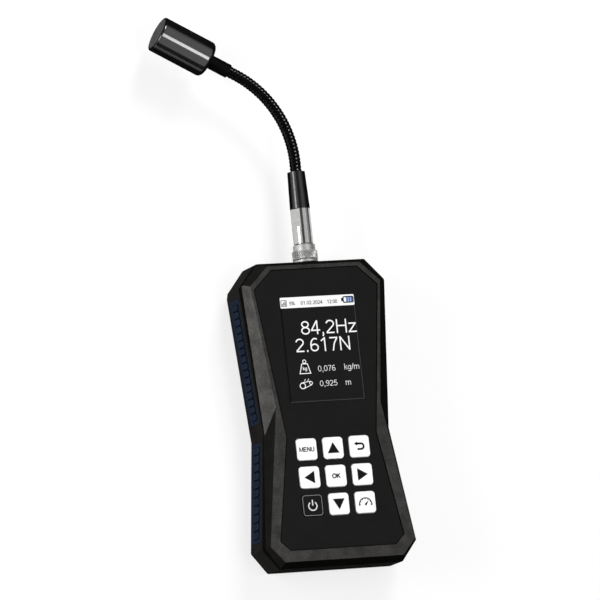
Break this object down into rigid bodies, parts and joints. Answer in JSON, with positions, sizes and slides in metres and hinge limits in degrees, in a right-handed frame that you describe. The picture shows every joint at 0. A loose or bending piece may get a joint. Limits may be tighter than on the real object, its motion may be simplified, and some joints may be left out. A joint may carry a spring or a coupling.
{
  "type": "belt tension tester",
  "caption": "Handheld belt tension tester: waisted housing with display, square keys and side grips, and a screw-on gooseneck probe with a microphone head.",
  "frame": {"origin": "centre of the flat back face of the housing", "axes": "+Z is the display's outward normal, +Y runs from the keys to the probe end, +X to the right"},
  "size_m": [0.1195, 0.3031, 0.0322],
  "materials": {
    "shell": "fine grained black moulding",
    "grip": "dark blue soft moulding",
    "screw": "plated",
    "overlay": "printed polyester film",
    "layer": "plain film and moulding",
    "key": "white printed film",
    "window": "clear pane",
    "panel": "dark display panel",
    "board": "coated circuit board",
    "battery": "foil pouch",
    "wire": "insulated wire",
    "nickel": "nickel plated",
    "seal": "soft black",
    "contact": "gold plated",
    "sleeve": "satin black",
    "neck": "black coiled steel",
    "head": "black anodised",
    "screen": "fine woven screen"
  },
  "bodies": {
    "housing": {"front_shell": "shell", "rear_shell": "shell", "grip_upper_left": "grip", "grip_upper_right": "grip", "grip_lower_left": "grip", "grip_lower_right": "grip", "housing_screws": "screw", "board_screws": "screw", "keypad_overlay": "overlay", "keypad_spacer": "layer", "keypad_circuit": "layer", "snap_domes": "screw", "display_window": "window", "display_panel": "panel", "display_carrier": "layer", "main_board": "board", "battery": "battery", "battery_pad": "seal", "battery_lead": "wire", "charging_port": "nickel", "probe_lead": "wire", "probe_socket": "nickel", "socket_gasket": "seal", "socket_nut": "nickel"},
    "menu_key": {"key_menu": "key"},
    "up_key": {"key_up": "key"},
    "back_key": {"key_back": "key"},
    "left_key": {"key_left": "key"},
    "ok_key": {"key_ok": "key"},
    "right_key": {"key_right": "key"},
    "power_key": {"key_power": "overlay"},
    "down_key": {"key_down": "key"},
    "measure_key": {"key_measure": "key"},
    "probe_plug": {"plug_body": "nickel", "plug_pins": "contact", "plug_barrel": "nickel", "strain_sleeve": "sleeve", "neck_link_1": "neck"},
    "ring": {"coupling_ring": "nickel"},
    "neck_2": {"neck_link_2": "neck"},
    "neck_3": {"neck_link_3": "neck"},
    "neck_4": {"neck_link_4": "neck"},
    "neck_5": {"neck_link_5": "neck"},
    "neck_6": {"neck_link_6": "neck"},
    "head": {"neck_link_7": "neck", "neck_collar": "head", "head_barrel": "head", "head_cap": "head", "head_screen": "screen", "capsule": "nickel", "capsule_seat": "seal"}
  },
  "joints": [
    {"name": "press_menu", "type": "slide", "parent": "housing", "child": "menu_key", "axis": [0, 0, -1], "range_m": [0, 0.0003], "stiffness_N_per_m": 1000, "springref_m": -0.001},
    {"name": "press_up", "type": "slide", "parent": "housing", "child": "up_key", "axis": [0, 0, -1], "range_m": [0, 0.0003], "stiffness_N_per_m": 1000, "springref_m": -0.001},
    {"name": "press_back", "type": "slide", "parent": "housing", "child": "back_key", "axis": [0, 0, -1], "range_m": [0, 0.0003], "stiffness_N_per_m": 1000, "springref_m": -0.001},
    {"name": "press_left", "type": "slide", "parent": "housing", "child": "left_key", "axis": [0, 0, -1], "range_m": [0, 0.0003], "stiffness_N_per_m": 1000, "springref_m": -0.001},
    {"name": "press_ok", "type": "slide", "parent": "housing", "child": "ok_key", "axis": [0, 0, -1], "range_m": [0, 0.0003], "stiffness_N_per_m": 1000, "springref_m": -0.001},
    {"name": "press_right", "type": "slide", "parent": "housing", "child": "right_key", "axis": [0, 0, -1], "range_m": [0, 0.0003], "stiffness_N_per_m": 1000, "springref_m": -0.001},
    {"name": "press_power", "type": "slide", "parent": "housing", "child": "power_key", "axis": [0, 0, -1], "range_m": [0, 0.0003], "stiffness_N_per_m": 1000, "springref_m": -0.001},
    {"name": "press_down", "type": "slide", "parent": "housing", "child": "down_key", "axis": [0, 0, -1], "range_m": [0, 0.0003], "stiffness_N_per_m": 1000, "springref_m": -0.001},
    {"name": "press_measure", "type": "slide", "parent": "housing", "child": "measure_key", "axis": [0, 0, -1], "range_m": [0, 0.0003], "stiffness_N_per_m": 1000, "springref_m": -0.001},
    {"name": "probe_pull", "type": "slide", "parent": "housing", "child": "probe_plug", "axis": [0, 1, 0], "range_m": [0, 0.012]},
    {"name": "ring_turn", "type": "hinge", "parent": "probe_plug", "child": "ring", "pos_m": [0, 0.0888, 0.021], "axis": [0, 1, 0], "continuous": true},
    {"name": "neck_side_1", "type": "hinge", "parent": "probe_plug", "child": "neck_2", "pos_m": [0, 0.14295, 0.021], "axis": [0, 0, 1], "range_deg": [-25, 25]},
    {"name": "neck_lift_2", "type": "hinge", "parent": "neck_2", "child": "neck_3", "pos_m": [-0.00174, 0.1528, 0.021], "axis": [0.9659, 0.2588, 0], "range_deg": [-25, 25]},
    {"name": "neck_side_3", "type": "hinge", "parent": "neck_3", "child": "neck_4", "pos_m": [-0.00516, 0.1622, 0.021], "axis": [0, 0, 1], "range_deg": [-25, 25]},
    {"name": "neck_lift_4", "type": "hinge", "parent": "neck_4", "child": "neck_5", "pos_m": [-0.01016, 0.17086, 0.021], "axis": [0.8192, 0.5736, 0], "range_deg": [-25, 25]},
    {"name": "neck_side_5", "type": "hinge", "parent": "neck_5", "child": "neck_6", "pos_m": [-0.01658, 0.17852, 0.021], "axis": [0, 0, 1], "range_deg": [-25, 25]},
    {"name": "neck_lift_6", "type": "hinge", "parent": "neck_6", "child": "head", "pos_m": [-0.02424, 0.18494, 0.021], "axis": [0.5736, 0.8192, 0], "range_deg": [-25, 25]}
  ]
}
